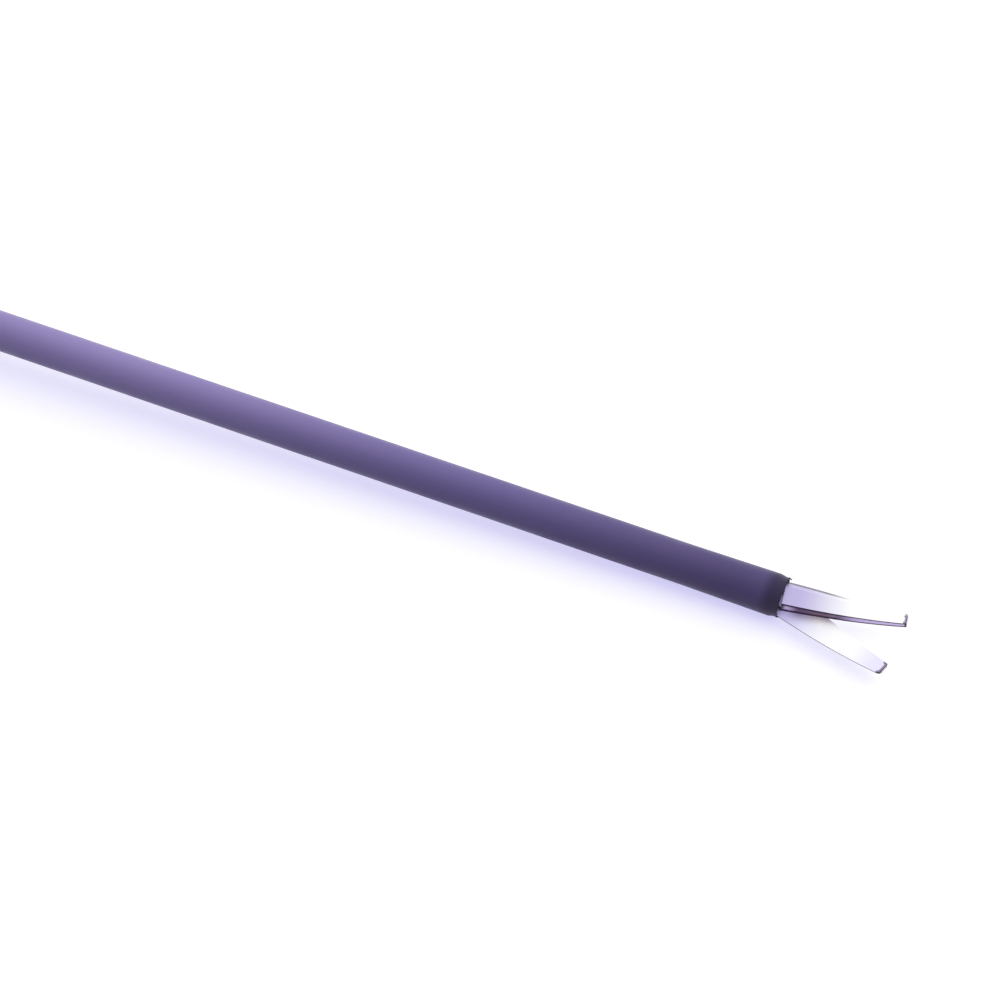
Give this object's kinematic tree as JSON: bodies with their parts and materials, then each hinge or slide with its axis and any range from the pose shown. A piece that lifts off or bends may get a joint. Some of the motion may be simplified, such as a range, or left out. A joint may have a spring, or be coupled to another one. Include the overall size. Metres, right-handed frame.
{
  "type": "laparoscopic scissors",
  "caption": "Long thin insulated shaft with two short curved scissor blades at its tip, turned by a fluted knob and worked by a two-ring handle.",
  "frame": {"origin": "on the shaft's axis at the front face of the rotation knob", "axes": "+X along the shaft towards the blades, +Z normal to the handle's rings, so the instrument lies on its side with the ring handle towards -Y"},
  "size_m": [0.4594, 0.119, 0.023],
  "materials": {
    "insulation": "satin",
    "steel": "fine turned",
    "blade_steel": "polished",
    "housing_plastic": "satin",
    "knob_plastic": "satin",
    "bush_bronze": "turned",
    "washer_plastic": "matt",
    "seal_rubber": "matt",
    "collar_plastic": "satin",
    "contact_metal": "bright"
  },
  "bodies": {
    "handle": {"front_bush": "bush_bronze", "handle_body": "housing_plastic", "handle_cover": "housing_plastic", "cover_screws": "steel", "lever_axle": "steel", "lever_washers": "washer_plastic", "connector_collar": "collar_plastic", "connector_pin": "contact_metal", "contact_spring": "contact_metal"},
    "lever": {"thumb_lever": "housing_plastic"},
    "rotor": {"insulation_sleeve": "insulation", "outer_tube": "steel", "jaw_clevis": "steel", "jaw_pivot_pin": "steel", "rotation_knob": "knob_plastic", "knob_set_screw": "steel", "tube_hub": "steel", "rod_seal": "seal_rubber", "retaining_ring": "steel"},
    "rod": {"push_rod": "steel", "drive_yoke": "steel", "drive_pin": "steel", "ball_end": "steel"},
    "upper_jaw": {"blade_upper": "blade_steel"},
    "lower_jaw": {"blade_lower": "blade_steel"}
  },
  "joints": [
    {"name": "thumb_hinge", "type": "hinge", "parent": "handle", "child": "lever", "pos_m": [-0.0473, -0.0085, 0], "axis": [0, 0, 1], "range_deg": [-0.61, 13.88]},
    {"name": "knob_turn", "type": "hinge", "parent": "handle", "child": "rotor", "pos_m": [0, 0, 0], "axis": [1, 0, 0], "continuous": true},
    {"name": "rod_slide", "type": "slide", "parent": "rotor", "child": "rod", "axis": [1, 0, 0], "range_m": [-0.00206, 0.00009]},
    {"name": "upper_blade_hinge", "type": "hinge", "parent": "rotor", "child": "upper_jaw", "pos_m": [0.3288, 0, 0], "axis": [0, 0, 1], "range_deg": [-7.3, 0.32]},
    {"name": "lower_blade_hinge", "type": "hinge", "parent": "rotor", "child": "lower_jaw", "pos_m": [0.3288, 0, 0], "axis": [0, 0, 1], "range_deg": [-0.84, 19.3]}
  ],
  "couplings": [
    {"joint": "rod_slide", "follows": "thumb_hinge", "m_per_rad": -0.0085},
    {"joint": "upper_blade_hinge", "follows": "thumb_hinge", "ratio": -0.52572},
    {"joint": "lower_blade_hinge", "follows": "thumb_hinge", "ratio": 1.3899}
  ]
}
